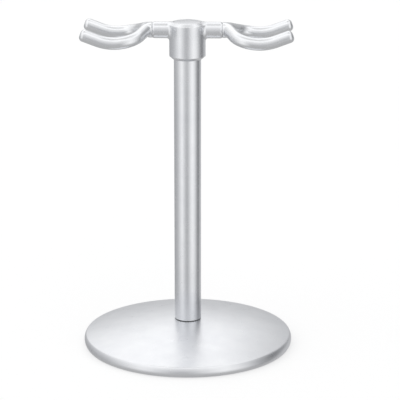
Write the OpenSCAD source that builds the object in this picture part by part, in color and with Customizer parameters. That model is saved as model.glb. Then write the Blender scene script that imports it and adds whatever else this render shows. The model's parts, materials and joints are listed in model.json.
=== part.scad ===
// Twin-fork bench stand for two airbrushes.
// A weighted, domed round base carries a tubular column. A crosshead turns on
// the column's top and carries two forks, one on each side. Each fork is a
// pair of bent round rods that dip in the middle, so that an airbrush lies
// across the two rods and its air fitting hangs down between them.
//
// Millimetres. Z is up and the origin is at the middle of the base's underside,
// on the surface that the stand rests on. The arms lie along X.

/* [Base] */
// Widest diameter of the domed base
base_d = 130; // [120:1:150]
// Height of the rim's upper edge above the bench
rim_top = 6.8; // [6:0.1:7.4]
// Height of the flat seat that the column stands on
seat_z = 16.2; // [16:0.2:20]
// Wall of the domed cover
cover_wall = 2.5; // [2:0.1:3]
// Width of the solid rim, from its outside to the ballast space
rim_w = 8; // [7:0.5:10]
// Thickness of the non-slip pad
pad_t = 2; // [1.5:0.1:2.4]
// How far the pad stands below the rim
pad_proud = 0.5; // [0.3:0.1:1]

/* [Column] */
// Outside diameter of the column tube
column_d = 16.5; // [15:0.5:17]
// Wall of the column tube
column_wall = 1.5; // [1:0.1:2]
// Thickness of the fibre gasket under the column
gasket_t = 0.4; // [0.3:0.1:1]

/* [Crosshead] */
// Overall height of the stand
overall_h = 204.8; // [180:0.2:240]
// Diameter of the crosshead's hub
hub_d = 22; // [21:0.5:26]
// Height of the hub
hub_h = 22.5; // [22:0.1:26]
// Diameter of the two arms
arm_d = 10; // [9.5:0.1:10.5]
// Distance from the column's axis to the end of each arm
arm_reach = 21.3; // [21:0.1:26]
// Radius of the fillet where an arm leaves the hub
arm_fillet = 1.6; // [1:0.1:2]

/* [Forks] */
// Diameter of a prong
prong_d = 7.5; // [6.5:0.1:7.5]
// Distance between the centres of a fork's two prongs
prong_spacing = 35.2; // [31:0.1:40]
// Distance from the column's axis to the tip of a prong
tip_reach = 64.1; // [62:0.1:80]
// Angle at which each prong splays out from its arm, seen from above
splay = 66; // [55:1:70]
// Downward slope of the splayed stretch
splay_drop = 14.4; // [10:0.1:20]
// Bend radius, at the centre line, where a prong leaves its yoke
root_bend = 4.5; // [4:0.1:6]
// Bend radius where a prong turns parallel to its arm
splay_bend = 13; // [10:0.5:15]
// Downward slope of a prong as it enters the dip
dip_entry = 7.5; // [4:0.5:12]
// Bend radius of the dip
dip_bend = 28.5; // [20:0.1:30]
// Upward slope of a prong's tip
tip_rise = 20.5; // [10:0.5:24]

/* [Hidden] */
$fn = 96;
eps = 0.01;
cut = 1;                       // overshoot of a cutting tool past a face

// Clearances
slip = 0.05;                   // radial clearance of parts that are glued or pressed together
turn_fit = 0.06;               // radial clearance of the hub on the column

// Base
base_r = base_d / 2;
rim_bottom = pad_proud;
rim_mid = (rim_bottom + rim_top) / 2;
rim_half = (rim_top - rim_bottom) / 2;
dome_peak = seat_z + 0.2;      // the dome's peak, before the seat is faced off
lip_in = 1.1;                  // from the rim's widest line in to the dome's edge
dome_edge_r = base_r - lip_in;
rim_round = (rim_half ^ 2 + lip_in ^ 2) / (2 * lip_in);   // radius of the rim's bulged outside
dome_rise = dome_peak - rim_top;
dome_r = (dome_edge_r ^ 2 + dome_rise ^ 2) / (2 * dome_rise);
cavity_r = base_r - rim_w;
pad_r = base_r - 6;
ballast_gap = 0.5;             // between the ballast's crown and the cover
ballast_r = cavity_r - ballast_gap;
boss_r = 16;                   // thickened middle of the cover, clamped by the bolt
boss_z = seat_z - 3.3;
clamp_web = 2.4;               // ballast left above the bolt's counterbore
bolt_pocket_r = 12;

// Column fixings
bolt_r = 4;
bolt_clear_r = 4.5;
bolt_head_r = 6.5;
bolt_head_h = 4.4;
bolt_key = 6;                  // width across the flats of the hexagon socket
washer_r = 11;
washer_t = 1.6;
spring_r = 7.4;
spring_t = 1.6;
pocket_z = boss_z - clamp_web;
washer_z = pocket_z - washer_t;
spring_z = washer_z - spring_t;
bolt_head_z = spring_z - bolt_head_h;
column_z = seat_z + gasket_t;
column_r = column_d / 2;
column_bore_r = column_r - column_wall;
plug_r = column_bore_r - slip;
foot_plug_h = 24;
top_plug_h = 20;

// Crosshead
hub_r = hub_d / 2;
hub_z = overall_h - hub_h;
arm_r = arm_d / 2;
arm_z = overall_h - arm_r;     // the arms' tops are level with the hub's top
shoulder_w = 2.2;
shoulder_h = 1.5;
skirt_w = 2;
skirt_h = 1.8;
neck_w = 1.1;                  // length of the arm's tapered end
neck_t = 0.5;                  // how much the taper takes off the arm's radius
cap_t = 1.8;
cap_r = hub_r - shoulder_w - 0.5;
cap_skirt_h = 1.2;
cap_skirt_w = 1.2;
well_r = 6.2;                  // the well above the web, which holds the clamp screw
web_t = 3.6;                   // the web that the clamp screw presses on the column
web_z = hub_z + 11.2;
well_z = web_z + web_t;
slip_washer_t = 1;
slip_washer_r = column_r - 0.2;
column_top = web_z - slip_washer_t;
screw_r = 2.5;
screw_clear_r = 2.75;
screw_head_r = 4.5;
screw_head_h = 3;
screw_key = 3;
screw_len = 20;
head_washer_r = 5;
head_washer_t = 1;
cup_t = 0.5;                   // strip thickness of the cup spring
cup_h = 0.8;                   // height of the cup spring
cup_z = well_z + head_washer_t;
screw_head_z = cup_z + cup_h;

// Forks
tenon_r = 3;
tenon_len = 7.8;
yoke_r = arm_r - 0.3;
yoke_len = 4;
yoke_round = 2.5;
prong_r = prong_d / 2;
tip_round = 2.6;
seam_at = 1.5;                 // length of the yoke's stub past its bend
spigot_r = 2.2;
spigot_len = 3.5;
bar_sides = 32;                // facets round a prong
bend_steps = 10;               // facets along each of its bends
tip_steps = 6;
root = [arm_reach, 1.2, yoke_r - prong_r];

// Directions of a prong's stretches: +X is along the arm
function heading(yaw, pitch) = [cos(yaw) * cos(pitch), sin(yaw) * cos(pitch), -sin(pitch)];
function bend_angle(a, b) = acos(a * b);
function bend_side(a, b) = (b - a * (a * b)) / norm(b - a * (a * b));
function bend_end(p, a, b, r) =
    p + r * (sin(bend_angle(a, b)) * a + (1 - cos(bend_angle(a, b))) * bend_side(a, b));

// A bar's sideways direction, level and square to the direction a
function bar_side(a) = cross([0, 0, 1], a) / norm(cross([0, 0, 1], a));
// The stations of a bend from p that turns from direction a to direction b
function bend_stations(p, a, b, r) = [
    for (i = [0:bend_steps])
        let (t = bend_angle(a, b) * i / bend_steps, side = bend_side(a, b))
            [p + r * (sin(t) * a + (1 - cos(t)) * side), cos(t) * a + sin(t) * side, prong_r]
];

along_arm = heading(0, 0);
splayed = heading(splay, splay_drop);
into_dip = heading(0, dip_entry);
up_tip = heading(0, -tip_rise);
root_end = bend_end(root, along_arm, splayed, root_bend);
splay_shift = bend_end([0, 0, 0], splayed, into_dip, splay_bend);
splay_len = (prong_spacing / 2 - root_end[1] - splay_shift[1]) / splayed[1];
seam = root_end + seam_at * splayed;
splay_start = root_end + splay_len * splayed;
dip_start = splay_start + splay_shift;
dip_end = bend_end(dip_start, into_dip, up_tip, dip_bend);
tip_nose = tip_round + (prong_r - tip_round) * sin(tip_rise);
tip_len = (tip_reach - tip_nose - dip_end[0]) / up_tip[0] + tip_round;

// ---- Building blocks ----

// A ring or disc standing on z
module ring(z, h, outer, inner) {
    translate([0, 0, z])
        difference() {
            cylinder(h = h, r = outer);
            translate([0, 0, -cut]) cylinder(h = h + 2 * cut, r = inner);
        }
}

// A screw with its head at z, its shank pointing up or down, and a hexagon key hole
module socket_screw(z, head_r, head_h, shank_r, shank_len, key, up) {
    key_depth = head_h * 0.6;
    translate([0, 0, z])
        difference() {
            union() {
                cylinder(h = head_h, r = head_r);
                translate([0, 0, up ? head_h - eps : -shank_len])
                    cylinder(h = shank_len + eps, r = shank_r);
            }
            translate([0, 0, up ? -cut : head_h - key_depth])
                cylinder(h = key_depth + cut, d = key / cos(30), $fn = 6);
        }
}

// A frame at p, with its X along a and its Y along b
module frame_at(p, a, b) {
    c = cross(a, b);
    multmatrix([
        [a[0], b[0], c[0], p[0]],
        [a[1], b[1], c[1], p[1]],
        [a[2], b[2], c[2], p[2]],
        [0, 0, 0, 1]
    ])
        children();
}

// A straight rod from p along the direction a
module rod(p, a, len, r) {
    side = bend_side(a, [0, 0, 1]);
    frame_at(p, a, side) rotate([0, 90, 0]) cylinder(h = len, r = r);
}

// A round bar swept through stations, each a point, a direction and a radius
module swept_bar(stations) {
    rings = [
        for (s = stations)
            let (side = bar_side(s[1]), up = cross(s[1], side))
                for (k = [0:bar_sides - 1])
                    s[0] + s[2] * (cos(360 * k / bar_sides) * side + sin(360 * k / bar_sides) * up)
    ];
    last = (len(stations) - 1) * bar_sides;
    skin = [
        for (i = [0:len(stations) - 2])
            for (k = [0:bar_sides - 1])
                let (a = i * bar_sides, n = (k + 1) % bar_sides)
                    [a + k, a + bar_sides + k, a + bar_sides + n, a + n]
    ];
    ends = [
        [for (k = [0:bar_sides - 1]) k],
        [for (k = [bar_sides - 1:-1:0]) last + k]
    ];
    polyhedron(points = rings, faces = concat(skin, ends), convexity = 6);
}

// ---- Base ----

// Outline of the base's outside, right half: a flat dome that runs into a bulged rim
module base_outline() {
    bulge_r = base_r - rim_round;
    intersection() {
        translate([0, dome_peak - dome_r]) circle(r = dome_r, $fn = 360);
        union() {
            translate([0, rim_bottom]) square([dome_edge_r - 2 * eps, seat_z - rim_bottom]);
            translate([bulge_r, rim_mid]) circle(r = rim_round);
        }
        translate([0, rim_bottom]) square([base_r, seat_z - rim_bottom]);
    }
}

// Half of a disc under the dome: everything a depth below the dome and inside a radius
module under_dome(depth, r, z) {
    intersection() {
        translate([0, dome_peak - dome_r]) circle(r = dome_r - depth, $fn = 360);
        translate([0, z]) square([r, dome_peak - z]);
    }
}

module foot_pad() {
    color([0.12, 0.12, 0.13]) cylinder(h = pad_t, r = pad_r);
}

module base_cover() {
    color([0.78, 0.79, 0.81])
        rotate_extrude()
            difference() {
                base_outline();
                difference() {
                    under_dome(cover_wall, cavity_r, pad_t - eps);
                    translate([0, boss_z]) square([boss_r, seat_z]);
                }
                translate([0, rim_bottom - cut]) square([pad_r + slip, pad_t - rim_bottom + cut]);
                translate([0, 0]) square([bolt_clear_r, seat_z + cut]);
            }
}

module ballast_weight() {
    color([0.3, 0.3, 0.31])
        rotate_extrude()
            difference() {
                intersection() {
                    under_dome(cover_wall + ballast_gap, ballast_r, pad_t);
                    translate([0, pad_t]) square([ballast_r, boss_z - pad_t]);
                }
                translate([0, pad_t - cut]) square([bolt_pocket_r, pocket_z - pad_t + cut]);
                translate([0, pad_t]) square([bolt_clear_r, seat_z]);
            }
}

module column_bolt() {
    reach = column_z + foot_plug_h - 4 - spring_z;
    color([0.45, 0.45, 0.47])
        socket_screw(bolt_head_z, bolt_head_r, bolt_head_h, bolt_r - slip, reach, bolt_key, true);
}

module bolt_washer() {
    color([0.6, 0.6, 0.62]) ring(washer_z, washer_t, washer_r, bolt_r + 0.2);
}

// A split spring ring
module lock_washer() {
    gap = 1.2;
    color([0.55, 0.55, 0.57])
        difference() {
            ring(spring_z, spring_t, spring_r, bolt_r + 0.1);
            translate([0, -gap / 2, spring_z - cut]) cube([spring_r + cut, gap, spring_t + 2 * cut]);
        }
}

// ---- Column ----

module column_gasket() {
    color([0.2, 0.2, 0.2]) ring(seat_z, gasket_t, column_r - 0.2, bolt_clear_r);
}

module column_tube() {
    color([0.78, 0.79, 0.81]) ring(column_z, column_top - column_z, column_r, column_bore_r);
}

module foot_plug() {
    color([0.7, 0.62, 0.4]) ring(column_z, foot_plug_h, plug_r, bolt_r);
}

module top_plug() {
    color([0.7, 0.62, 0.4]) ring(column_top - top_plug_h, top_plug_h, plug_r, screw_r);
}

// ---- Head clamp ----

module slip_washer() {
    color([0.92, 0.92, 0.9]) ring(column_top, slip_washer_t, slip_washer_r, screw_clear_r);
}

module head_washer() {
    color([0.6, 0.6, 0.62]) ring(well_z, head_washer_t, head_washer_r, screw_clear_r);
}

// A coned spring ring, wide side down
module cup_spring() {
    rise = cup_h - cup_t;
    inner = screw_clear_r;
    color([0.5, 0.5, 0.52])
        translate([0, 0, cup_z])
            rotate_extrude()
                polygon([
                    [inner, rise],
                    [head_washer_r, 0],
                    [head_washer_r, cup_t],
                    [inner, cup_h]
                ]);
}

module head_screw() {
    shank = screw_len + screw_head_z - well_z;
    color([0.45, 0.45, 0.47])
        socket_screw(screw_head_z, screw_head_r, screw_head_h, screw_r - slip, shank, screw_key, false);
}

// ---- Crosshead ----

// One arm of the crosshead, along +X, with its fillet and a tapered end
module arm() {
    flare_x = hub_r - 0.6;
    rotate([0, 90, 0])
        rotate_extrude()
            union() {
                polygon([
                    [0, 0],
                    [arm_r, 0],
                    [arm_r, arm_reach - neck_w],
                    [arm_r - neck_t, arm_reach],
                    [0, arm_reach]
                ]);
                difference() {
                    square([arm_r + arm_fillet, flare_x + arm_fillet]);
                    translate([arm_r + arm_fillet, flare_x + arm_fillet]) circle(r = arm_fillet);
                }
            }
}

module crosshead() {
    color([0.78, 0.79, 0.81])
        difference() {
            union() {
                rotate_extrude()
                    polygon([
                        [0, hub_z],
                        [hub_r - skirt_w, hub_z],
                        [hub_r, hub_z + skirt_h],
                        [hub_r, overall_h - shoulder_h],
                        [hub_r - shoulder_w, overall_h],
                        [0, overall_h]
                    ]);
                intersection() {
                    translate([0, 0, arm_z]) {
                        arm();
                        mirror([1, 0, 0]) arm();
                    }
                    translate([-arm_reach - cut, -hub_r, hub_z])
                        cube([2 * (arm_reach + cut), hub_d, hub_h]);
                }
            }
            translate([0, 0, hub_z - cut]) cylinder(h = web_z - hub_z + cut, r = column_r + turn_fit);
            translate([0, 0, hub_z]) cylinder(h = hub_h, r = screw_clear_r);
            translate([0, 0, well_z]) cylinder(h = hub_h, r = well_r);
            translate([0, 0, overall_h - cap_t]) cylinder(h = cap_t + cut, r = cap_r + slip);
            for (side = [0, 1])
                mirror([side, 0, 0])
                    translate([arm_reach - tenon_len - 0.3, 0, arm_z])
                        rotate([0, 90, 0])
                            cylinder(h = tenon_len + cut, r = tenon_r + slip);
        }
}

// A flush disc with a locating skirt
module head_cap() {
    skirt_r = well_r - slip;
    color([0.78, 0.79, 0.81]) {
        translate([0, 0, overall_h - cap_t]) cylinder(h = cap_t, r = cap_r);
        ring(overall_h - cap_t - cap_skirt_h, cap_skirt_h + eps, skirt_r, skirt_r - cap_skirt_w);
    }
}

// ---- Forks ----

// Everything of one fork is drawn for the right side and the rear prong, then mirrored
module mirrored(left, front) {
    translate([0, 0, arm_z])
        mirror([left ? 1 : 0, 0, 0])
            mirror([0, front ? 1 : 0, 0])
                children();
}

// The yoke's body, round the arm's axis: a short boss with a rounded nose
module yoke_boss() {
    translate([arm_reach, 0, 0])
        rotate([0, 90, 0])
            rotate_extrude()
                union() {
                    square([yoke_r - yoke_round, yoke_len]);
                    square([yoke_r, yoke_len - yoke_round]);
                    intersection() {
                        translate([yoke_r - yoke_round, yoke_len - yoke_round]) circle(r = yoke_round);
                        square([yoke_r, yoke_len]);
                    }
                }
}

module yoke() {
    difference() {
        union() {
            yoke_boss();
            rod([arm_reach - tenon_len, 0, 0], along_arm, tenon_len + eps, tenon_r);
            for (side = [0, 1])
                mirror([0, side, 0])
                    swept_bar(concat(
                        bend_stations(root, along_arm, splayed, root_bend),
                        [[seam, splayed, prong_r]]
                    ));
        }
        for (side = [0, 1])
            mirror([0, side, 0])
                rod(seam - (spigot_len + 0.2) * splayed, splayed, spigot_len + cut, spigot_r + slip);
    }
}

// A bent rod with a spigot at its root and a rounded tip
module prong() {
    swept_bar(concat(
        [
            [seam - spigot_len * splayed, splayed, spigot_r],
            [seam, splayed, spigot_r],
            [seam, splayed, prong_r]
        ],
        bend_stations(splay_start, splayed, into_dip, splay_bend),
        bend_stations(dip_start, into_dip, up_tip, dip_bend),
        [
            for (i = [0:tip_steps])
                let (t = 90 * i / tip_steps)
                    [
                        dip_end + (tip_len - tip_round * (1 - sin(t))) * up_tip,
                        up_tip,
                        prong_r - tip_round * (1 - cos(t))
                    ]
        ]
    ));
}

module left_yoke() { color([0.78, 0.79, 0.81]) mirrored(true, false) yoke(); }
module right_yoke() { color([0.78, 0.79, 0.81]) mirrored(false, false) yoke(); }
module left_front_prong() { color([0.78, 0.79, 0.81]) mirrored(true, true) prong(); }
module left_rear_prong() { color([0.78, 0.79, 0.81]) mirrored(true, false) prong(); }
module right_front_prong() { color([0.78, 0.79, 0.81]) mirrored(false, true) prong(); }
module right_rear_prong() { color([0.78, 0.79, 0.81]) mirrored(false, false) prong(); }

foot_pad();
base_cover();
ballast_weight();
column_bolt();
bolt_washer();
lock_washer();
column_gasket();
column_tube();
foot_plug();
top_plug();
slip_washer();
head_washer();
cup_spring();
head_screw();
crosshead();
head_cap();
left_yoke();
right_yoke();
left_front_prong();
left_rear_prong();
right_front_prong();
right_rear_prong();
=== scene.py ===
import json
import math

import bmesh
import bpy
import numpy as np
from mathutils import Matrix, Vector


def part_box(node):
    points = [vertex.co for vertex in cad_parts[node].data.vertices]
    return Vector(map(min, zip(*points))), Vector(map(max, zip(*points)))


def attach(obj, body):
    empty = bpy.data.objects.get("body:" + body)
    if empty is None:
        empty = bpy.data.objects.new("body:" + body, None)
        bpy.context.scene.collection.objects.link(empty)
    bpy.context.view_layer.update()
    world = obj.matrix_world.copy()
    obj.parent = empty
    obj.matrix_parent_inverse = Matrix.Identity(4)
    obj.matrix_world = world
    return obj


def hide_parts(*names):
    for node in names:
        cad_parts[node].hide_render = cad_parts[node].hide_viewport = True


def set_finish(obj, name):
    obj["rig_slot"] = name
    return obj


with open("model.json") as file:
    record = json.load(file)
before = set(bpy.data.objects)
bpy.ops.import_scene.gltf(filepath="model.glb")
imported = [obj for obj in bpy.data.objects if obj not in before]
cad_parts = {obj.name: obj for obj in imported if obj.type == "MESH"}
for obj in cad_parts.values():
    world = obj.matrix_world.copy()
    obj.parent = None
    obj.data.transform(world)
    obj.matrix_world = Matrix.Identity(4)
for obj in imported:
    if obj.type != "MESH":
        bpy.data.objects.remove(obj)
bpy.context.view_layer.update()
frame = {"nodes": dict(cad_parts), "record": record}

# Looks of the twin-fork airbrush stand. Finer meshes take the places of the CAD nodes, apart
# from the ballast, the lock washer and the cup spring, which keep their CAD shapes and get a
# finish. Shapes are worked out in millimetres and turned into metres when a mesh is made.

slots = {part["node"]: part["material_slot"] for part in frame["record"]["subparts"]}
MM = 0.001


def box_mm(node):
    low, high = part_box(node)
    return np.array(low) / MM, np.array(high) / MM


# ---- Sizes read from the frame ----

cover_low, cover_high = box_mm("base_cover")
pad_high = box_mm("foot_pad")[1]
tube_low, tube_high = box_mm("column_tube")
head_low, head_high = box_mm("crosshead")
cap_low, cap_high = box_mm("head_cap")

BASE_R = cover_high[0]
RIM_BOTTOM = cover_low[2]
SEAT_Z = cover_high[2]
COLUMN_R = tube_high[0]
HUB_R = head_high[1]
HUB_BOTTOM = head_low[2]
TOP = head_high[2]
ARM_REACH = head_high[0]
CAP_R = cap_high[0]

# ---- Sizes that a box doesn't give, as in the CAD model ----

RIM_TOP = 6.8
LIP_IN = 1.1
DOME_PEAK = SEAT_Z + 0.2
DOME_EDGE_R = BASE_R - LIP_IN
COVER_WALL = 2.5
CAVITY_R = BASE_R - 8
BOSS_R = 16.0
BOSS_Z = SEAT_Z - 3.3
BOLT_CLEAR_R = 4.5
BOLT_WASHER_BORE_R = 4.2
LOWER_PLUG_BORE_R = 4.0
UPPER_PLUG_BORE_R = 2.5
COLUMN_WALL = 1.5
ARM_R = 5.0
ARM_Z = TOP - ARM_R
ARM_FILLET = 1.6
NECK = (1.1, 0.5)
SHOULDER = (2.2, 1.5)
SKIRT = (2.0, 1.8)
WEB_Z = HUB_BOTTOM + 11.2
WELL_Z = WEB_Z + 3.6
WELL_R = 6.2
SCREW_CLEAR_R = 2.75
TURN_FIT = 0.06
SLIP = 0.05
CAP_T = 1.8
CAP_SKIRT_WALL = 1.2
TENON_R = 3.0
TENON_LEN = 7.8
PRONG_R = 3.75
PRONG_SPACING = 35.2
SPLAY = 66.0
SPLAY_DROP = 14.4
ROOT_BEND = 4.5
SPLAY_BEND = 13.0
DIP_ENTRY = 7.5
DIP_BEND = 28.5
TIP_RISE = 20.5
TIP_ROUND = 2.6
TIP_REACH = 64.1
SEAM_AT = 1.5
SPIGOT_R = 2.2
SPIGOT_LEN = 3.5
YOKE_R = ARM_R - 0.3
YOKE_LEN = 4.0
YOKE_ROUND = 2.5

# Screws: height of the head, radius of the shank, pitch of the thread, width of the key
BASE_BOLT = (4.4, 3.95, 1.25, 6)
CLAMP_SCREW = (3.0, 2.45, 0.8, 3)

# Edges that turn by less than this many degrees are shaded smooth
SMOOTH_BELOW = 32.0
CAST_SMOOTH_BELOW = 40
BAR_SMOOTH_BELOW = 50

# Cell of the nets that castings are made from, and the distance that welds vertices, in metres
NET_STEP = 0.25
WELD = 1e-7


# ---- Outlines ----

def arc(centre, radius, start, end, steps):
    """Points of an arc in the plane, from one angle to another, in degrees."""
    angles = np.radians(np.linspace(start, end, steps + 1))
    return [(centre[0] + radius * math.cos(a), centre[1] + radius * math.sin(a)) for a in angles]


def eased(corners, radius, steps=4):
    """A closed outline whose corners are rounded. A corner may carry its own radius."""
    straight = math.radians(176)
    side_share = 0.45
    out = []
    count = len(corners)
    for i in range(count):
        here = np.array(corners[i][:2], float)
        before = np.array(corners[i - 1][:2], float) - here
        after = np.array(corners[(i + 1) % count][:2], float) - here
        wanted = corners[i][2] if len(corners[i]) > 2 else radius
        lengths = np.linalg.norm(before), np.linalg.norm(after)
        before, after = before / lengths[0], after / lengths[1]
        angle = math.acos(float(np.clip(before @ after, -1, 1)))
        if wanted <= 0 or angle > straight:
            out.append(tuple(here))
            continue
        setback = min(wanted / math.tan(angle / 2), side_share * min(lengths))
        size = setback * math.tan(angle / 2)
        middle = before + after
        centre = here + middle / np.linalg.norm(middle) * size / math.sin(angle / 2)
        first = here + before * setback - centre
        last = here + after * setback - centre
        for k in range(steps + 1):
            t = k / steps
            mixed = first * (1 - t) + last * t
            out.append(tuple(centre + mixed / np.linalg.norm(mixed) * size))
    return out


# ---- Mesh building ----

def mesh_of(name, verts, faces):
    """A mesh from vertices in millimetres."""
    mesh = bpy.data.meshes.new(name)
    mesh.from_pydata(
        [tuple(np.asarray(v) * MM) for v in verts], [], [tuple(int(i) for i in f) for f in faces])
    return mesh


def welded(mesh):
    """An editable copy of a mesh with its doubles welded and its faces turned outwards."""
    work = bmesh.new()
    work.from_mesh(mesh)
    bmesh.ops.remove_doubles(work, verts=work.verts, dist=WELD)
    bmesh.ops.recalc_face_normals(work, faces=work.faces)
    return work


def put_in_scene(name, data):
    made = bpy.data.objects.new(name, data)
    bpy.context.scene.collection.objects.link(made)
    return made


def finish_mesh(name, verts, faces, body, replaced, slot, smooth_below=SMOOTH_BELOW):
    """A smooth-shaded object from millimetre vertices, riding on a body in place of CAD nodes."""
    return dress(name, mesh_of(name, verts, faces), body, replaced, slot, smooth_below)


def dress(name, mesh, body, replaced, slot, smooth_below=SMOOTH_BELOW):
    """Cleans a mesh, marks its sharp and worn edges and puts it in the scene."""
    shortest = 0.05
    wear_gain = 0.35
    work = welded(mesh)
    limit = math.radians(smooth_below)
    for face in work.faces:
        face.smooth = True
    for edge in work.edges:
        edge.smooth = len(edge.link_faces) == 2 and edge.calc_face_angle(0) < limit
    worn = {}
    for vert in work.verts:
        edges = vert.link_edges
        length = sum(e.calc_length() for e in edges) / max(len(edges), 1)
        turns = [e.calc_face_angle_signed(0) for e in edges if len(e.link_faces) == 2]
        turn = max(turns, default=0)
        worn[vert.index] = min(1.0, max(0.0, turn) / max(length / MM, shortest) * wear_gain)
    work.to_mesh(mesh)
    work.free()
    wear = np.array([worn.get(i, 0) for i in range(len(mesh.vertices))], np.float32)
    attribute = mesh.attributes.new("edge_wear", "FLOAT", "POINT")
    attribute.data.foreach_set("value", wear)
    piece = put_in_scene(name, mesh)
    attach(piece, body)
    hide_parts(*replaced)
    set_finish(piece, slot)
    return piece


def lathe(outline, segments=160):
    """Vertices and faces of a closed outline of (radius, height) turned about Z."""
    count = len(outline)
    angles = np.linspace(0, 2 * math.pi, segments, endpoint=False)
    verts = [(r * math.cos(a), r * math.sin(a), z) for a in angles for r, z in outline]
    faces = []
    for s in range(segments):
        here, there = s * count, (s + 1) % segments * count
        for i in range(count):
            j = (i + 1) % count
            if outline[i][0] < 1e-6 and outline[j][0] < 1e-6:
                continue
            faces.append((here + i, there + i, there + j, here + j))
    return verts, faces


def tube_faces(rings, sides):
    """Faces that join rings of vertices into a tube, with one face on each end."""
    faces = []
    for i in range(rings - 1):
        for k in range(sides):
            n = (k + 1) % sides
            faces.append((i * sides + k, i * sides + n, (i + 1) * sides + n, (i + 1) * sides + k))
    last = (rings - 1) * sides
    faces.append(tuple(range(sides)))
    faces.append(tuple(range(last + sides - 1, last - 1, -1)))
    return faces


def surface_net(field, low, high, step=NET_STEP, relax=3):
    """Even quads on the zero surface of a signed distance field."""
    corners = 8
    axes = [np.arange(a, b + step, step) for a, b in zip(low, high)]
    grid = np.stack(np.meshgrid(*axes, indexing="ij"), -1)
    inside = (field(grid.reshape(-1, 3)) < 0).reshape(grid.shape[:3])
    cells = np.array(inside.shape) - 1
    filled = np.zeros(cells, int)
    for i in (0, 1):
        for j in (0, 1):
            for k in (0, 1):
                filled += inside[i:i + cells[0], j:j + cells[1], k:k + cells[2]]
    crossed = (filled > 0) & (filled < corners)
    index = np.full(crossed.shape, -1)
    index[crossed] = np.arange(crossed.sum())
    points = grid[:-1, :-1, :-1][crossed] + step / 2
    quads = []
    for axis in range(3):
        order = (axis, (axis + 1) % 3, (axis + 2) % 3)
        solid, cell = np.transpose(inside, order), np.transpose(index, order)
        lower, upper = solid[:-1, 1:-1, 1:-1], solid[1:, 1:-1, 1:-1]
        i, j, k = np.nonzero(lower != upper)
        quad = np.stack(
            [cell[i, j, k], cell[i, j + 1, k], cell[i, j + 1, k + 1], cell[i, j, k + 1]], -1)
        inward = ~lower[i, j, k]
        quad[inward] = quad[inward][:, ::-1]
        quads.append(quad)
    quads = np.concatenate(quads)
    points = settle(field, points, step)
    for _ in range(relax):
        total, share = np.zeros_like(points), np.zeros(len(points))
        for a, b in ((0, 1), (1, 2), (2, 3), (3, 0)):
            np.add.at(total, quads[:, a], points[quads[:, b]])
            np.add.at(share, quads[:, a], 1)
            np.add.at(total, quads[:, b], points[quads[:, a]])
            np.add.at(share, quads[:, b], 1)
        points = settle(field, (points + total / share[:, None]) / 2, step)
    return points, quads


def settle(field, points, step):
    """Moves points onto the zero surface of a field along its slope."""
    reach = 0.02 * step
    least_slope = 0.25
    for _ in range(3):
        value = field(points)
        slope = np.stack([
            (field(points + reach * axis) - field(points - reach * axis)) / (2 * reach)
            for axis in np.eye(3)
        ], -1)
        size = np.maximum((slope ** 2).sum(-1), least_slope)
        points = points - np.clip(value / size, -step, step)[:, None] * slope
    return points


def joined(a, b, radius):
    """Union of two fields with a fillet of that radius where they meet."""
    corner = np.hypot(np.maximum(radius - a, 0), np.maximum(radius - b, 0))
    return np.maximum(radius, np.minimum(a, b)) - corner


def common(a, b, radius):
    """Intersection of two fields with its edges rounded to that radius."""
    return -joined(-a, -b, radius)


def outline_field(corners, x, y):
    """Signed distance in the plane to a closed outline, negative inside."""
    distance = np.full(x.shape, np.inf)
    inside = np.zeros(x.shape, bool)
    for (ax, ay), (bx, by) in zip(corners, corners[1:] + corners[:1]):
        ex, ey = bx - ax, by - ay
        t = np.clip(((x - ax) * ex + (y - ay) * ey) / (ex * ex + ey * ey), 0, 1)
        distance = np.minimum(distance, np.hypot(x - ax - t * ex, y - ay - t * ey))
        if ay != by:
            inside ^= ((ay > y) != (by > y)) & (x < (bx - ax) * (y - ay) / (by - ay) + ax)
    return np.where(inside, -distance, distance)


def path_field(points, path, radius):
    """Signed distance to a round bar of that radius along a path."""
    nearest = np.full(len(points), np.inf)
    for a, b in zip(path[:-1], path[1:]):
        along = b - a
        t = np.clip((points - a) @ along / (along @ along), 0, 1)
        nearest = np.minimum(nearest, np.linalg.norm(points - a - t[:, None] * along, axis=1))
    return nearest - radius


def cut_away(mesh, cutters):
    """The mesh that is left when the cutters, each (verts, faces) in millimetres, are taken out."""
    body = put_in_scene("cut_body", mesh)
    tools = []
    for verts, faces in cutters:
        tool_mesh = mesh_of("cutter", verts, faces)
        work = welded(tool_mesh)
        work.to_mesh(tool_mesh)
        work.free()
        tool = put_in_scene("cutter", tool_mesh)
        tools.append(tool)
        cut = body.modifiers.new("cut", "BOOLEAN")
        cut.operation = "DIFFERENCE"
        cut.solver = "MANIFOLD"
        cut.object = tool
    graph = bpy.context.evaluated_depsgraph_get()
    result = bpy.data.meshes.new_from_object(body.evaluated_get(graph))
    for spent in tools + [body]:
        bpy.data.objects.remove(spent)
    return result


# ---- Base ----

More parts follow.
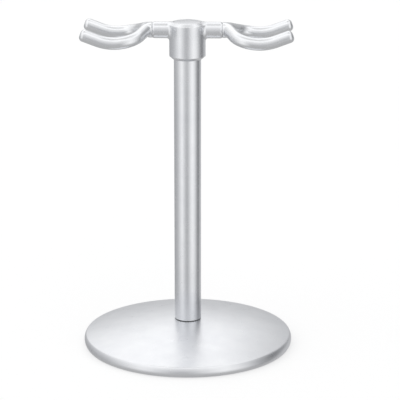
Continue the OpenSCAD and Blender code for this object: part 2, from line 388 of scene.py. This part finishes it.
def base_cover():
    """The domed cover with its lip, bulged rim, hollow inside and boss under the column."""
    dome_steps, lip_steps, rim_steps, ceiling_steps = 56, 5, 26, 24
    lip_share = 0.65
    rim_trim = 5
    rise = DOME_PEAK - RIM_TOP
    dome_r = (DOME_EDGE_R ** 2 + rise ** 2) / (2 * rise)
    dome_z = DOME_PEAK - dome_r
    rim_mid, rim_half = (RIM_TOP + RIM_BOTTOM) / 2, (RIM_TOP - RIM_BOTTOM) / 2
    rim_round = (rim_half ** 2 + LIP_IN ** 2) / (2 * LIP_IN)
    bulge_r = BASE_R - rim_round
    seat_r = math.sqrt(dome_r ** 2 - (SEAT_Z - dome_z) ** 2)
    edge = math.degrees(math.asin(rim_half / rim_round))
    crown = math.degrees(math.acos(DOME_EDGE_R / dome_r))
    seat = math.degrees(math.acos(seat_r / dome_r))
    dome = arc((0, dome_z), dome_r, seat, crown, dome_steps)
    rim = arc((bulge_r, rim_mid), rim_round, edge - rim_trim, -edge, rim_steps)
    corner = np.array(dome[-1])
    lip_start = np.array(dome[-2]) * (1 - lip_share) + corner * lip_share
    lip_end = np.array(rim[0])
    lip = [
        tuple((1 - t) ** 2 * lip_start + 2 * t * (1 - t) * corner + t * t * lip_end)
        for t in np.linspace(0, 1, lip_steps + 1)
    ]
    inner_r = dome_r - COVER_WALL
    ceiling_start = math.degrees(math.acos(BOSS_R / inner_r))
    ceiling_end = math.degrees(math.acos(CAVITY_R / inner_r))
    pad_r, pad_z = pad_high[0] + SLIP, pad_high[2]
    inside = [
        (pad_r, RIM_BOTTOM), (pad_r, pad_z), (CAVITY_R, pad_z),
        *arc((0, dome_z), inner_r, ceiling_end, ceiling_start, ceiling_steps),
        (BOSS_R, BOSS_Z), (BOLT_CLEAR_R, BOSS_Z), (BOLT_CLEAR_R, SEAT_Z),
    ]
    verts, faces = lathe(dome[:-1] + lip + rim[1:] + inside, 256)
    return finish_mesh("cover_shell", verts, faces, "stand", ["base_cover"], "base_satin")


# ---- Column ----

def column_tube():
    """The column, with the edges of its two ends broken."""
    inner = COLUMN_R - COLUMN_WALL
    edge = 0.3
    outline = eased([
        (inner, tube_low[2]), (COLUMN_R, tube_low[2]),
        (COLUMN_R, tube_high[2]), (inner, tube_high[2]),
    ], edge)
    verts, faces = lathe(outline, 128)
    return finish_mesh("column_sleeve", verts, faces, "stand", ["column_tube"], "column_satin")


# ---- Crosshead ----

def crosshead_field(points):
    """The hub and its two arms, filleted together, before the bores are cut."""
    x, y, z = points.T
    across = np.hypot(x, y)
    ease = 0.16
    neck_ease = 0.15
    half = [
        (HUB_R - SKIRT[0], HUB_BOTTOM), (HUB_R, HUB_BOTTOM + SKIRT[1]),
        (HUB_R, TOP - SHOULDER[1]), (HUB_R - SHOULDER[0], TOP),
    ]
    whole = [(-r, h) for r, h in reversed(half)] + half
    hub = outline_field(whole, across, z)
    hub = common(hub, z - TOP, ease)
    arm_round = np.hypot(y, z - ARM_Z) - ARM_R
    past_neck = np.abs(x) - (ARM_REACH - NECK[0])
    taper = (past_neck * NECK[1] + arm_round * NECK[0]) / math.hypot(*NECK)
    arm = common(common(arm_round, taper, neck_ease), np.abs(x) - ARM_REACH, neck_ease)
    both = joined(hub, arm, ARM_FILLET)
    return common(both, z - TOP, ease)


def crosshead():
    """The casting, with the column's bore, the screw's well, the cap's seat and two tenon holes."""
    margin = 0.6
    low = np.array([-ARM_REACH, -HUB_R, HUB_BOTTOM]) - margin
    high = np.array([ARM_REACH, HUB_R, TOP]) + margin
    points, quads = surface_net(crosshead_field, low, high)
    bore = COLUMN_R + TURN_FIT
    past = 1.0
    lead = 0.15
    tenon_room = 0.3
    socket = lathe([
        (0, HUB_BOTTOM - past), (bore + lead + past, HUB_BOTTOM - past), (bore, HUB_BOTTOM + lead),
        (bore, WEB_Z), (SCREW_CLEAR_R, WEB_Z), (SCREW_CLEAR_R, WELL_Z), (WELL_R, WELL_Z),
        (WELL_R, TOP - CAP_T), (CAP_R + SLIP, TOP - CAP_T), (CAP_R + SLIP, TOP - lead),
        (CAP_R + lead + past, TOP + past), (0, TOP + past),
    ], 160)
    hole_r, hole_len = TENON_R + SLIP, TENON_LEN + past
    verts, faces = lathe([(0, 0), (hole_r, 0), (hole_r, hole_len), (0, hole_len)], 64)
    cutters = [socket]
    for side in (-1, 1):
        start = side * (ARM_REACH - TENON_LEN - tenon_room)
        cutters.append(([(start + side * h, v, u + ARM_Z) for u, v, h in verts], faces))
    mesh = cut_away(mesh_of("net", points, quads), cutters)
    return dress(
        "crosshead_casting", mesh, "head", ["crosshead"], "head_satin", CAST_SMOOTH_BELOW)


def head_cap():
    """The disc on top of the hub, with the skirt that holds it in the well."""
    skirt_r = WELL_R - SLIP
    skirt_inner = skirt_r - CAP_SKIRT_WALL
    foot, under = cap_low[2], TOP - CAP_T
    ease, top_ease = 0.12, 0.35
    outline = eased([
        (0, under, 0), (skirt_inner, under), (skirt_inner, foot), (skirt_r, foot),
        (skirt_r, under), (CAP_R, under), (CAP_R, TOP, top_ease), (0, TOP, 0),
    ], ease)
    verts, faces = lathe(outline, 160)
    return finish_mesh("cap_disc", verts, faces, "head", ["head_cap"], "head_satin")


# ---- Forks ----

def heading(yaw, pitch):
    """A direction from degrees to the rear and degrees downwards."""
    yaw, pitch = math.radians(yaw), math.radians(pitch)
    level = math.cos(pitch)
    return np.array([math.cos(yaw) * level, math.sin(yaw) * level, -math.sin(pitch)])


def bend(start, a, b, radius, steps):
    """Points and directions of a bend from start that turns from direction a to direction b."""
    whole = math.acos(float(np.clip(a @ b, -1, 1)))
    side = b - a * (a @ b)
    side /= np.linalg.norm(side)
    out = []
    for i in range(steps + 1):
        t = whole * i / steps
        moved = radius * (math.sin(t) * a + (1 - math.cos(t)) * side)
        out.append((start + moved, math.cos(t) * a + math.sin(t) * side))
    return out


ROOT_SIDE = 1.2
ALONG_ARM = heading(0, 0)
SPLAYED = heading(SPLAY, SPLAY_DROP)
INTO_DIP = heading(0, DIP_ENTRY)
UP_TIP = heading(0, -TIP_RISE)
ROOT = np.array([ARM_REACH, ROOT_SIDE, YOKE_R - PRONG_R])
ROOT_END = bend(ROOT, ALONG_ARM, SPLAYED, ROOT_BEND, 1)[-1][0]
SPLAY_SHIFT = bend(np.zeros(3), SPLAYED, INTO_DIP, SPLAY_BEND, 1)[-1][0]
SPLAY_LEN = (PRONG_SPACING / 2 - ROOT_END[1] - SPLAY_SHIFT[1]) / SPLAYED[1]
SEAM = ROOT_END + SEAM_AT * SPLAYED
SPLAY_START = ROOT_END + SPLAY_LEN * SPLAYED


def placed(points, left, front):
    """Points of the right rear prong or the right yoke, moved to their arm and mirrored."""
    out = np.array(points, float)
    out[:, 0] *= -1 if left else 1
    out[:, 1] *= -1 if front else 1
    out[:, 2] += ARM_Z
    return out


def prong_stations():
    """Stations of a prong from its spigot to its rounded tip: point, direction, radius."""
    splay_steps, dip_steps, tip_steps = 36, 28, 12
    stations = [
        (SEAM - SPIGOT_LEN * SPLAYED, SPLAYED, SPIGOT_R),
        (SEAM, SPLAYED, SPIGOT_R),
        (SEAM, SPLAYED, PRONG_R),
    ]
    splay_turn = bend(SPLAY_START, SPLAYED, INTO_DIP, SPLAY_BEND, splay_steps)
    dip_turn = bend(splay_turn[-1][0], INTO_DIP, UP_TIP, DIP_BEND, dip_steps)
    dip_end = dip_turn[-1][0]
    nose = TIP_ROUND + (PRONG_R - TIP_ROUND) * math.sin(math.radians(TIP_RISE))
    tip_len = (TIP_REACH - nose - dip_end[0]) / UP_TIP[0] + TIP_ROUND
    stations += [(p, d, PRONG_R) for p, d in splay_turn + dip_turn]
    straight = tip_len - TIP_ROUND
    stations += [(dip_end + straight * t * UP_TIP, UP_TIP, PRONG_R) for t in (0.25, 0.5, 0.75)]
    for angle in np.radians(np.linspace(0, 90, tip_steps + 1)):
        reach = straight + TIP_ROUND * math.sin(angle)
        radius = PRONG_R - TIP_ROUND * (1 - math.cos(angle))
        stations.append((dip_end + reach * UP_TIP, UP_TIP, radius))
    return stations


def sweep(stations, sides=48):
    """Vertices and faces of a round bar through stations, with a face on each end."""
    verts = []
    for point, direction, radius in stations:
        side = np.cross([0, 0, 1], direction)
        side /= np.linalg.norm(side)
        up = np.cross(direction, side)
        for angle in np.linspace(0, 2 * math.pi, sides, endpoint=False):
            verts.append(point + radius * (math.cos(angle) * side + math.sin(angle) * up))
    return verts, tube_faces(len(stations), sides)


def prong(left, front):
    node = f"{'left' if left else 'right'}_{'front' if front else 'rear'}_prong"
    verts, faces = sweep(prong_stations())
    verts = placed(verts, left, front)
    return finish_mesh(
        node + "_bar", verts, faces, "head", [node], "fork_satin", BAR_SMOOTH_BELOW)


def yoke_field(points):
    """A rounded boss at the end of the arm and the stubs of two prongs, run together."""
    x, y, z = points.T
    across = np.hypot(y, z)
    straight, round_steps = YOKE_LEN - YOKE_ROUND, 8
    nose = [
        (-YOKE_R, 0), (YOKE_R, 0), (YOKE_R, straight),
        *arc((YOKE_R - YOKE_ROUND, straight), YOKE_ROUND, 0, 90, round_steps)[1:],
        *arc((-YOKE_R + YOKE_ROUND, straight), YOKE_ROUND, 90, 180, round_steps)[:-1],
        (-YOKE_R, straight),
    ]
    boss = outline_field(nose, across, x - ARM_REACH)
    centre_line = [p for p, _ in bend(ROOT, ALONG_ARM, SPLAYED, ROOT_BEND, 16)]
    centre_line = [ROOT - ALONG_ARM] + centre_line + [SEAM + 2 * SPLAYED]
    mirrored_y = np.stack([x, np.abs(y), z], -1)
    stub = path_field(mirrored_y, centre_line, PRONG_R)
    other = path_field(mirrored_y * [1, -1, 1], centre_line, PRONG_R)
    crotch, boss_fillet, top_ease, face_ease = 1.2, 0.9, 0.6, 0.25
    pair = joined(stub, other, crotch)
    whole = common(joined(boss, pair, boss_fillet), z - YOKE_R, top_ease)
    return common(whole, ARM_REACH - x, face_ease)


def yoke(left):
    """The casting between an arm and its two prongs, cut flat where the prongs start."""
    node = "left_yoke" if left else "right_yoke"
    past_seam, margin, lower_room = 3.0, 1, 2.5
    reach = SEAM + past_seam * SPLAYED + PRONG_R
    low = np.array([ARM_REACH - 0.6, -reach[1] - margin, -ARM_R - lower_room])
    high = np.array([reach[0] + margin, reach[1] + margin, ARM_R + 1.5])
    points, quads = surface_net(yoke_field, low, high)
    mesh = mesh_of("net", points, quads)
    work = bmesh.new()
    work.from_mesh(mesh)
    for side in (-1, 1):
        flip = np.array([1, side, 1])
        whole = list(work.verts) + list(work.edges) + list(work.faces)
        bmesh.ops.bisect_plane(
            work, geom=whole, dist=WELD, clear_outer=True,
            plane_co=Vector(SEAM * flip * MM), plane_no=Vector(SPLAYED * flip))
        bmesh.ops.holes_fill(work, edges=[e for e in work.edges if e.is_boundary], sides=0)
    work.to_mesh(mesh)
    work.free()
    for vert in mesh.vertices:
        vert.co = Vector(placed([np.array(vert.co) / MM], left, False)[0] * MM)
    return dress(node + "_casting", mesh, "head", [node], "fork_satin", BAR_SMOOTH_BELOW)


# ---- Inside ----

def foot_pad():
    """The non-slip pad, with a rounded edge and ring grooves in its underside."""
    radius, thick = pad_high[0], pad_high[2]
    depth, half, half_inside, spacing, first, land = 0.5, 0.7, 0.42, 6.5, 20.0, 4
    lower_edge, upper_edge, ease = 0.5, 0.2, 0.12
    under = [(0, 0)]
    middle = first
    while middle < radius - land:
        under += [
            (middle - half, 0), (middle - half_inside, depth),
            (middle + half_inside, depth), (middle + half, 0),
        ]
        middle += spacing
    outline = under + [(radius, 0, lower_edge), (radius, thick, upper_edge), (0, thick, 0)]
    verts, faces = lathe(eased(outline, ease, 3), 192)
    return finish_mesh("grip_pad", verts, faces, "stand", ["foot_pad"], "pad_rubber")


def turned_ring(node, name, inner, edge):
    """A ring that fills its CAD node's box, with its edges broken."""
    low, high = box_mm(node)
    outline = [(inner, low[2]), (high[0], low[2]), (high[0], high[2]), (inner, high[2])]
    verts, faces = lathe(eased(outline, edge, 3), 128)
    return finish_mesh(name, verts, faces, "stand", [node], slots[node])


def socket_screw(node, name, head_h, shank_r, pitch, key, up):
    """A socket head screw with a hexagon key hole and a helical thread, in rings of vertices."""
    low, high = box_mm(node)
    head_r, length, segments, rings_per_turn = high[0], high[2] - low[2], 72, 10
    angles = np.linspace(0, 2 * math.pi, segments, endpoint=False)
    corner = (angles + math.pi / 6) % (math.pi / 3) - math.pi / 6
    hexagon = key / 2 / np.cos(corner)
    circle = np.ones(segments)
    centre = 0.02 * circle
    depth, root = head_h * 0.6, 0.61 * pitch
    bevel = 0.08 * head_h
    rings = [
        (depth, centre), (depth, hexagon), (bevel, hexagon), (0, hexagon + bevel),
        (0, (head_r - 2 * bevel) * circle), (2 * bevel, head_r * circle),
        (head_h - bevel / 2, head_r * circle), (head_h, (head_r - bevel / 2) * circle),
        (head_h, (shank_r + bevel / 2) * circle), (head_h + bevel / 2, shank_r * circle),
    ]
    start, end = head_h + 2 * pitch, length - pitch / 2
    steps = int((end - start) / pitch * rings_per_turn)
    for t in np.linspace(start, end, steps):
        phase = (t / pitch - angles / (2 * math.pi)) % 1
        ridge = np.clip(abs(2 * phase - 1) * 1.5 - 0.25, 0, 1)
        fade = min(1, (t - start) / pitch, (end - t) / pitch)
        rings.append((t, shank_r - root * ridge * fade))
    rings += [(length, (shank_r - pitch / 2) * circle), (length, centre)]
    verts = []
    for t, radii in rings:
        z = low[2] + t if up else high[2] - t
        verts += [(r * math.cos(a), r * math.sin(a), z) for r, a in zip(radii, angles)]
    faces = tube_faces(len(rings), segments)
    return finish_mesh(
        name, verts, faces, "stand", [node], "dark_steel", CAST_SMOOTH_BELOW)


# ---- Finishes ----

NOISE_LOW = 0.3
NOISE_HIGH = 0.7
POLISHED = (0.90, 0.90, 0.905)


def new_material(name):
    material = bpy.data.materials.new(name)
    material.use_nodes = True
    tree = material.node_tree
    return material, tree, tree.nodes["Principled BSDF"]


def noise(tree, scale, detail=3.0, roughness=0.5):
    """A noise pattern in the piece's own space, with its scale in features per metre."""
    place = tree.nodes.new("ShaderNodeTexCoord")
    pattern = tree.nodes.new("ShaderNodeTexNoise")
    pattern.inputs["Scale"].default_value = scale
    pattern.inputs["Detail"].default_value = detail
    pattern.inputs["Roughness"].default_value = roughness
    tree.links.new(place.outputs["Object"], pattern.inputs["Vector"])
    return pattern.outputs["Fac"]


def spread(tree, value, low, high):
    """The middle of a noise value's range spread over another range."""
    reach = tree.nodes.new("ShaderNodeMapRange")
    reach.inputs["From Min"].default_value = NOISE_LOW
    reach.inputs["From Max"].default_value = NOISE_HIGH
    reach.inputs["To Min"].default_value = low
    reach.inputs["To Max"].default_value = high
    tree.links.new(value, reach.inputs["Value"])
    return reach.outputs["Result"]


def tint(tree, factor, a, b):
    """Colour a mixed with colour b by a value. Each is a socket or three numbers."""
    mix = tree.nodes.new("ShaderNodeMix")
    mix.data_type = "RGBA"
    tree.links.new(factor, mix.inputs["Factor"])
    for slot, value in zip(("A", "B"), (a, b)):
        if isinstance(value, tuple):
            mix.inputs[slot].default_value = (*value, 1)
        else:
            tree.links.new(value, mix.inputs[slot])
    return mix.outputs["Result"]


def maths(tree, operation, a, b):
    """The result of an operation on two values. Each is a socket or a number."""
    made = tree.nodes.new("ShaderNodeMath")
    made.operation = operation
    for slot, value in zip(made.inputs, (a, b)):
        if isinstance(value, (int, float)):
            slot.default_value = value
        else:
            tree.links.new(value, slot)
    return made.outputs["Value"]


def bump(tree, shader, height, distance, strength=1.0):
    node = tree.nodes.new("ShaderNodeBump")
    node.inputs["Strength"].default_value = strength
    node.inputs["Distance"].default_value = distance
    tree.links.new(height, node.inputs["Height"])
    tree.links.new(node.outputs["Normal"], shader.inputs["Normal"])


def satin_aluminium(name, dark, light, rough, grain=5200, grain_depth=0.000005):
    """Bead-blasted, clear anodised aluminium: fine dimples, faint blotches, polished edges."""
    material, tree, shader = new_material(name)
    shader.inputs["Metallic"].default_value = 1.0
    blotch = spread(tree, noise(tree, 90, 2), 0, 1)
    wear = tree.nodes.new("ShaderNodeAttribute")
    wear.attribute_name = "edge_wear"
    breaks = spread(tree, noise(tree, 900, 3), 0.1, 1.0)
    ragged = maths(tree, "MULTIPLY", wear.outputs["Fac"], breaks)
    colour = tint(tree, ragged, tint(tree, blotch, dark, light), POLISHED)
    tree.links.new(colour, shader.inputs["Base Color"])
    patches = spread(tree, noise(tree, 160, 3), rough - 0.025, rough + 0.03)
    speckle = spread(tree, noise(tree, grain, 2), -0.012, 0.012)
    smoothed = maths(tree, "MULTIPLY", ragged, 0.08)
    roughness = maths(tree, "SUBTRACT", maths(tree, "ADD", patches, speckle), smoothed)
    tree.links.new(roughness, shader.inputs["Roughness"])
    bump(tree, shader, noise(tree, grain, 3, 0.5), grain_depth, 0.3)
    return material


def black_rubber():
    """Black rubber with a dull, faintly mottled skin."""
    material, tree, shader = new_material("pad_rubber")
    colour = tint(tree, noise(tree, 240, 4), (0.018, 0.018, 0.019), (0.035, 0.035, 0.037))
    tree.links.new(colour, shader.inputs["Base Color"])
    tree.links.new(spread(tree, noise(tree, 1500, 2), 0.62, 0.82), shader.inputs["Roughness"])
    bump(tree, shader, noise(tree, 1800, 3), 0.00008)
    return material


def cast_iron():
    """Bare cast iron, blotched and rough."""
    material, tree, shader = new_material("ballast_iron")
    shader.inputs["Metallic"].default_value = 0.85
    blotch = spread(tree, noise(tree, 220, 6, 0.65), 0, 1)
    colour = tint(tree, blotch, (0.09, 0.085, 0.08), (0.20, 0.20, 0.20))
    tree.links.new(colour, shader.inputs["Base Color"])
    tree.links.new(spread(tree, noise(tree, 500, 4), 0.5, 0.75), shader.inputs["Roughness"])
    bump(tree, shader, noise(tree, 1100, 5, 0.7), 0.00012)
    return material


def turned_metal(name, dark, light, rough, groove=2600):
    """Metal with fine turning marks round its axis."""
    material, tree, shader = new_material(name)
    shader.inputs["Metallic"].default_value = 1.0
    place = tree.nodes.new("ShaderNodeTexCoord")
    rings = tree.nodes.new("ShaderNodeTexWave")
    rings.wave_type = "BANDS"
    rings.bands_direction = "Z"
    rings.inputs["Scale"].default_value = groove
    rings.inputs["Distortion"].default_value = 1.5
    rings.inputs["Detail"].default_value = 2.0
    tree.links.new(place.outputs["Object"], rings.inputs["Vector"])
    colour = tint(tree, spread(tree, noise(tree, 300, 4), 0, 1), dark, light)
    roughness = spread(tree, noise(tree, 700, 3), rough - 0.06, rough + 0.08)
    tree.links.new(colour, shader.inputs["Base Color"])
    tree.links.new(roughness, shader.inputs["Roughness"])
    bump(tree, shader, rings.outputs["Fac"], 0.00002, 0.5)
    return material


def moulded(name, dark, light, rough, grain):
    """A plastic or pressed fibre with a fine grain."""
    material, tree, shader = new_material(name)
    roughness = spread(tree, noise(tree, grain, 3), rough - 0.08, rough + 0.08)
    tree.links.new(tint(tree, noise(tree, 400, 4), dark, light), shader.inputs["Base Color"])
    tree.links.new(roughness, shader.inputs["Roughness"])
    bump(tree, shader, noise(tree, grain, 3), 0.00003)
    return material


def make_materials():
    """One material for each slot of the record, by name."""
    cool, bright = (0.76, 0.77, 0.795), (0.80, 0.81, 0.83)
    fork_cool, fork_bright = (0.78, 0.79, 0.81), (0.82, 0.83, 0.845)
    return {
        "base_satin": satin_aluminium("base_satin", cool, bright, 0.30),
        "column_satin": satin_aluminium("column_satin", cool, bright, 0.25),
        "head_satin": satin_aluminium("head_satin", cool, bright, 0.27),
        "fork_satin": satin_aluminium("fork_satin", fork_cool, fork_bright, 0.25),
        "pad_rubber": black_rubber(),
        "ballast_iron": cast_iron(),
        "dark_steel": turned_metal("dark_steel", (0.07, 0.07, 0.075), (0.13, 0.13, 0.14), 0.42),
        "zinc_steel": turned_metal("zinc_steel", (0.55, 0.57, 0.60), (0.68, 0.68, 0.66), 0.30),
        "plug_brass": turned_metal("plug_brass", (0.62, 0.46, 0.20), (0.78, 0.62, 0.32), 0.28),
        "gasket_fibre": moulded("gasket_fibre", (0.05, 0.05, 0.05), (0.11, 0.11, 0.11), 0.8, 1600),
        "washer_nylon": moulded("washer_nylon", (0.76, 0.75, 0.70), (0.86, 0.85, 0.80), 0.45, 2200),
    }


# ---- Studio ----

FACING = math.radians(1.9)
ELEVATION = math.radians(16.1)
DISTANCE = 1.25
TARGET_Z = 0.0930
AIM_SIDE = 0.0076
FOCAL_PER_WIDTH = 5.056
SENSOR = 36.0
FLOOR_HALF = 3.0
BACKLIGHT = 0.55


def camera():
    """The photo's camera, in front of the stand, a little to one side and above it."""
    level = math.cos(ELEVATION)
    ahead = Vector((-math.sin(FACING) * level, math.cos(FACING) * level, -math.sin(ELEVATION)))
    right = Vector((math.cos(FACING), math.sin(FACING), 0))
    place = Vector((0, 0, TARGET_Z)) - DISTANCE * ahead
    aim = (Vector((0, 0, TARGET_Z)) + AIM_SIDE * right - place).normalized()
    data = bpy.data.cameras.new("camera")
    data.sensor_width = SENSOR
    data.lens = FOCAL_PER_WIDTH * SENSOR
    data.clip_start = 0.01
    data.clip_end = 50
    view = put_in_scene("camera", data)
    turn = aim.to_track_quat("-Z", "Y").to_matrix().to_4x4()
    view.matrix_world = Matrix.Translation(place) @ turn
    bpy.context.scene.camera = view


def floor():
    """A sheet of white paper under the stand."""
    mesh = bpy.data.meshes.new("floor")
    corners = [(-1, -1), (1, -1), (1, 1), (-1, 1)]
    mesh.from_pydata([(x * FLOOR_HALF, y * FLOOR_HALF, 0) for x, y in corners], [], [(0, 1, 2, 3)])
    ground = put_in_scene("floor", mesh)
    material, tree, shader = new_material("floor_paper")
    colour = tint(tree, noise(tree, 4, 2), (0.44, 0.44, 0.44), (0.46, 0.46, 0.46))
    tree.links.new(colour, shader.inputs["Base Color"])
    shader.inputs["Roughness"].default_value = 0.9
    shader.inputs["Specular IOR Level"].default_value = 0.1
    # Light from behind the paper, so that shadows on it stay faint
    shader.inputs["Emission Color"].default_value = (1, 1, 1, 1)
    shader.inputs["Emission Strength"].default_value = BACKLIGHT
    mesh.materials.append(material)
    # The metal shows the soft studio in place of the white paper under it
    ground.visible_glossy = False


# Brightness of the studio round the stand, in rings at three heights in degrees: pairs of
# degrees to the right of the camera's side, and brightness. Two tall soft lights stand to the
# left and right of the camera, and a dark gap opens at the right.
RINGS = [
    (-14, [
        (-180, 0.52), (-140, 0.46), (-113, 0.50), (-92, 0.60), (-68, 0.88), (-47, 1.14),
        (-28, 0.84), (-11, 0.54), (2, 0.52), (13, 0.74), (27, 1.02), (42, 1.18), (57, 1.06),
        (71, 0.82), (84, 0.52), (96, 0.32), (106, 0.26), (116, 0.36), (130, 0.60), (150, 0.66),
        (165, 0.58), (180, 0.52),
    ]),
    (4, [
        (-180, 0.60), (-165, 0.58), (-120, 0.62), (-92, 0.70), (-64, 0.92), (-46, 1.10),
        (-20, 0.78), (0, 0.68), (20, 0.88), (42, 1.15), (62, 0.92), (84, 0.44), (106, 0.20), (124, 0.34),
        (148, 0.52), (168, 0.54), (180, 0.60),
    ]),
    (38, [
        (-180, 1.34), (-171, 1.26), (-150, 1.14), (-120, 0.96), (-90, 1.06), (-46, 1.20),
        (0, 0.88), (42, 1.15), (78, 0.80), (106, 0.44), (150, 0.56), (165, 0.72), (172, 1.20),
        (180, 1.34),
    ]),
]
# The same height and brightness all round: the ceiling is one large soft light that fades
# straight above the stand, and it is dim below
CEILING = (62, 1.28)
ZENITH = (84, 0.82)
BELOW = (-55, 0.54)
UNDERNEATH = 0.52
BACKDROP = 0.99
COOLNESS = 0.035


def ring(tree, turn, levels):
    """Brightness by direction round the stand, from a table of degrees and levels."""
    made = tree.nodes.new("ShaderNodeValToRGB")
    made.color_ramp.interpolation = "EASE"
    stops = made.color_ramp.elements
    while len(stops) > 1:
        stops.remove(stops[-1])
    for angle, level in levels:
        place = (angle + 180) / 360
        stop = stops.new(place) if place > 0 else stops[0]
        cool = COOLNESS * (1 - min(level, 1))
        stop.color = (level * (1 - cool / 2), level, level * (1 + cool), 1)
    tree.links.new(turn, made.inputs["Fac"])
    return made.outputs["Color"]


def grey(level):
    return (level, level, level)


def blend_up(tree, z, low, high, a, b):
    """Colour a below one height and colour b above another, both in degrees, eased between."""
    height = tree.nodes.new("ShaderNodeMapRange")
    height.interpolation_type = "SMOOTHSTEP"
    height.inputs["From Min"].default_value = math.sin(math.radians(low))
    height.inputs["From Max"].default_value = math.sin(math.radians(high))
    tree.links.new(z, height.inputs["Value"])
    return tint(tree, height.outputs["Result"], a, b)


def studio():
    """Light from all round by direction, and an even backdrop for what the camera sees."""
    world = bpy.data.worlds.new("studio")
    bpy.context.scene.world = world
    world.use_nodes = True
    tree = world.node_tree
    tree.nodes.clear()
    place = tree.nodes.new("ShaderNodeTexCoord")
    parts = tree.nodes.new("ShaderNodeSeparateXYZ")
    tree.links.new(place.outputs["Generated"], parts.inputs["Vector"])
    x, y, z = parts.outputs
    # Azimuth from the camera's side, -Y, growing towards +X
    azimuth = maths(tree, "ARCTAN2", x, maths(tree, "MULTIPLY", y, -1))
    turn = maths(tree, "ADD", maths(tree, "DIVIDE", azimuth, 2 * math.pi), 0.5)
    levels = [
        (BELOW[0], grey(BELOW[1])),
        *((height, ring(tree, turn, around)) for height, around in RINGS),
        (CEILING[0], grey(CEILING[1])),
        (ZENITH[0], grey(ZENITH[1])),
    ]
    light, reached = grey(UNDERNEATH), -90
    for height, level in levels:
        light = blend_up(tree, z, reached, height, light, level)
        reached = height
    seen = tree.nodes.new("ShaderNodeLightPath")
    shown = tint(tree, seen.outputs["Is Camera Ray"], light, grey(BACKDROP))
    emit = tree.nodes.new("ShaderNodeBackground")
    out = tree.nodes.new("ShaderNodeOutputWorld")
    tree.links.new(shown, emit.inputs["Color"])
    tree.links.new(emit.outputs["Background"], out.inputs["Surface"])


# ---- Assembly ----

camera()
floor()
studio()
bpy.context.scene.view_settings.view_transform = "Standard"

materials = make_materials()
pieces = [base_cover(), column_tube(), crosshead(), head_cap(), yoke(True), yoke(False)]
pieces += [prong(left, front) for left in (True, False) for front in (True, False)]
pieces += [
    foot_pad(),
    turned_ring("bolt_washer", "flat_washer", BOLT_WASHER_BORE_R, edge=0.25),
    turned_ring("column_gasket", "foot_gasket", BOLT_CLEAR_R, edge=0.1),
    turned_ring("foot_plug", "lower_plug", LOWER_PLUG_BORE_R, edge=0.4),
    turned_ring("top_plug", "upper_plug", UPPER_PLUG_BORE_R, edge=0.4),
    turned_ring("slip_washer", "bearing_washer", SCREW_CLEAR_R, edge=0.15),
    turned_ring("head_washer", "screw_washer", SCREW_CLEAR_R, edge=0.15),
    socket_screw("column_bolt", "base_bolt", *BASE_BOLT, up=True),
    socket_screw("head_screw", "clamp_screw", *CLAMP_SCREW, up=False),
]
for piece in pieces:
    piece.data.materials.clear()
    piece.data.materials.append(materials[piece["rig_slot"]])

for name, obj in frame["nodes"].items():
    for slot in obj.material_slots:
        slot.material = materials[slots[name]]
